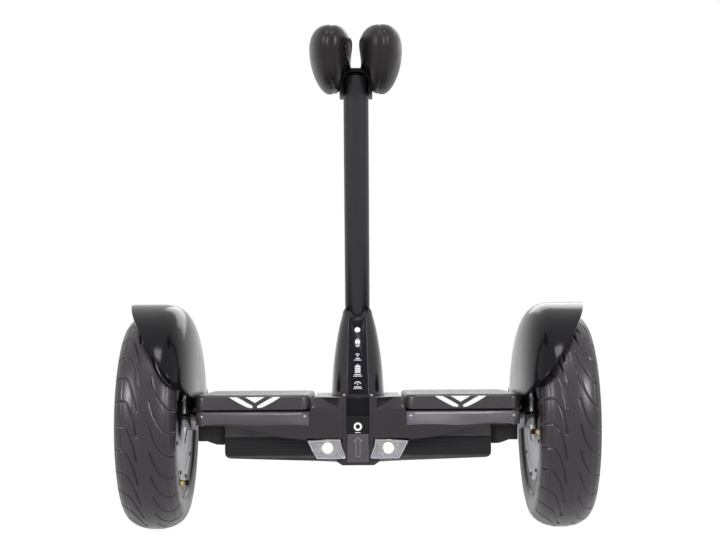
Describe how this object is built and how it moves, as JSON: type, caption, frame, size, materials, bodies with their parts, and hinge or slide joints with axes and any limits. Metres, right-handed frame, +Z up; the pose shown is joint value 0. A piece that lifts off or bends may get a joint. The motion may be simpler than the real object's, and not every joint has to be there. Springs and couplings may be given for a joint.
{
  "type": "self-balancing scooter",
  "caption": "Compact self-balancing scooter: a low deck with foot mats between air-tyred hub-motor wheels under curved fenders, and a short leaning knee bar with padded head.",
  "frame": {"origin": "on the ground under the middle of the scooter, half way between the wheels and under the axle", "axes": "+X along the axle to the right as the front lamps' side is seen, -Y out of the face with the display and lamps, +Z up"},
  "size_m": [0.546, 0.256, 0.5912],
  "materials": {
    "tyre_rubber": "matt",
    "soft_rubber": "matt",
    "gloss_black_plastic": "high gloss",
    "dark_plastic": "fine satin",
    "grey_plastic": "satin",
    "black_coated_tube": "satin black coat",
    "pad_skin": "smooth satin skin over foam",
    "cast_metal": "cast, painted dark",
    "dark_metal": "painted black",
    "silver_metal": "turned",
    "bright_steel": "ground",
    "wound_core": "laminated steel with enamelled windings",
    "valve_brass": "bright",
    "cable_sleeve": "woven glass sleeve",
    "cell_wrap": "shrink film over metal cells",
    "circuit_board": "lacquered",
    "display_glass": "clear gloss",
    "white_button": "satin",
    "clear_lens": "clear",
    "lamp_chip": "lit"
  },
  "bodies": {
    "chassis": {"main_frame": "cast_metal", "front_cover": "gloss_black_plastic", "back_cover": "gloss_black_plastic", "battery_case": "dark_plastic", "battery_pack": "cell_wrap", "control_board": "circuit_board", "gyro_board": "circuit_board", "front_pivot_bearing": "bright_steel", "back_pivot_bearing": "bright_steel", "charge_socket": "bright_steel", "nose_panel": "grey_plastic", "pivot_cover": "gloss_black_plastic", "left_axle_clamp": "dark_metal", "left_fender": "gloss_black_plastic", "left_foot_sensor": "dark_plastic", "left_lean_stop": "soft_rubber", "left_lamp_housing": "grey_plastic", "left_lamp_lens": "clear_lens", "left_lamp_chip": "lamp_chip", "left_back_lamp_lens": "clear_lens", "left_axle": "bright_steel", "left_stator": "wound_core", "left_motor_cable": "cable_sleeve", "right_axle_clamp": "dark_metal", "right_fender": "gloss_black_plastic", "right_foot_sensor": "dark_plastic", "right_lean_stop": "soft_rubber", "right_lamp_housing": "grey_plastic", "right_lamp_lens": "clear_lens", "right_lamp_chip": "lamp_chip", "right_back_lamp_lens": "clear_lens", "right_axle": "bright_steel", "right_stator": "wound_core", "right_motor_cable": "cable_sleeve"},
    "left_wheel": {"left_tyre": "tyre_rubber", "left_rim": "cast_metal", "left_motor_cover": "silver_metal", "left_inner_bearing": "bright_steel", "left_valve": "valve_brass"},
    "left_mat": {"left_foot_mat": "soft_rubber"},
    "right_wheel": {"right_tyre": "tyre_rubber", "right_rim": "cast_metal", "right_motor_cover": "silver_metal", "right_inner_bearing": "bright_steel", "right_valve": "valve_brass"},
    "right_mat": {"right_foot_mat": "soft_rubber"},
    "steering": {"steering_shaft": "bright_steel", "steering_arm": "cast_metal", "neck_shell_front": "gloss_black_plastic", "neck_shell_back": "gloss_black_plastic", "display_panel": "display_glass", "control_bar": "black_coated_tube", "pad_bracket": "dark_plastic", "left_knee_pad": "pad_skin", "right_knee_pad": "pad_skin", "left_pad_plate": "gloss_black_plastic", "right_pad_plate": "gloss_black_plastic"},
    "button": {"power_button": "white_button"},
    "flap": {"charge_port_flap": "dark_plastic"}
  },
  "joints": [
    {"name": "left_wheel_spin", "type": "hinge", "parent": "chassis", "child": "left_wheel", "pos_m": [-0.2385, 0, 0.128], "axis": [1, 0, 0], "continuous": true},
    {"name": "right_wheel_spin", "type": "hinge", "parent": "chassis", "child": "right_wheel", "pos_m": [0.2385, 0, 0.128], "axis": [1, 0, 0], "continuous": true},
    {"name": "steering_lean", "type": "hinge", "parent": "chassis", "child": "steering", "pos_m": [0, 0, 0.14], "axis": [0, 1, 0], "range_deg": [-12, 12], "stiffness_Nm_per_rad": 20},
    {"name": "power_button_press", "type": "slide", "parent": "steering", "child": "button", "axis": [0, 0.9182, -0.3962], "range_m": [0, 0.001], "stiffness_N_per_m": 500},
    {"name": "left_mat_press", "type": "slide", "parent": "chassis", "child": "left_mat", "axis": [0, 0, -1], "range_m": [0, 0.0012], "stiffness_N_per_m": 12000, "springref_m": -0.0008},
    {"name": "right_mat_press", "type": "slide", "parent": "chassis", "child": "right_mat", "axis": [0, 0, -1], "range_m": [0, 0.0012], "stiffness_N_per_m": 12000, "springref_m": -0.0008},
    {"name": "port_flap_hinge", "type": "hinge", "parent": "chassis", "child": "flap", "pos_m": [0, -0.0966, 0.1364], "axis": [-1, 0, 0], "range_deg": [0, 100]}
  ]
}
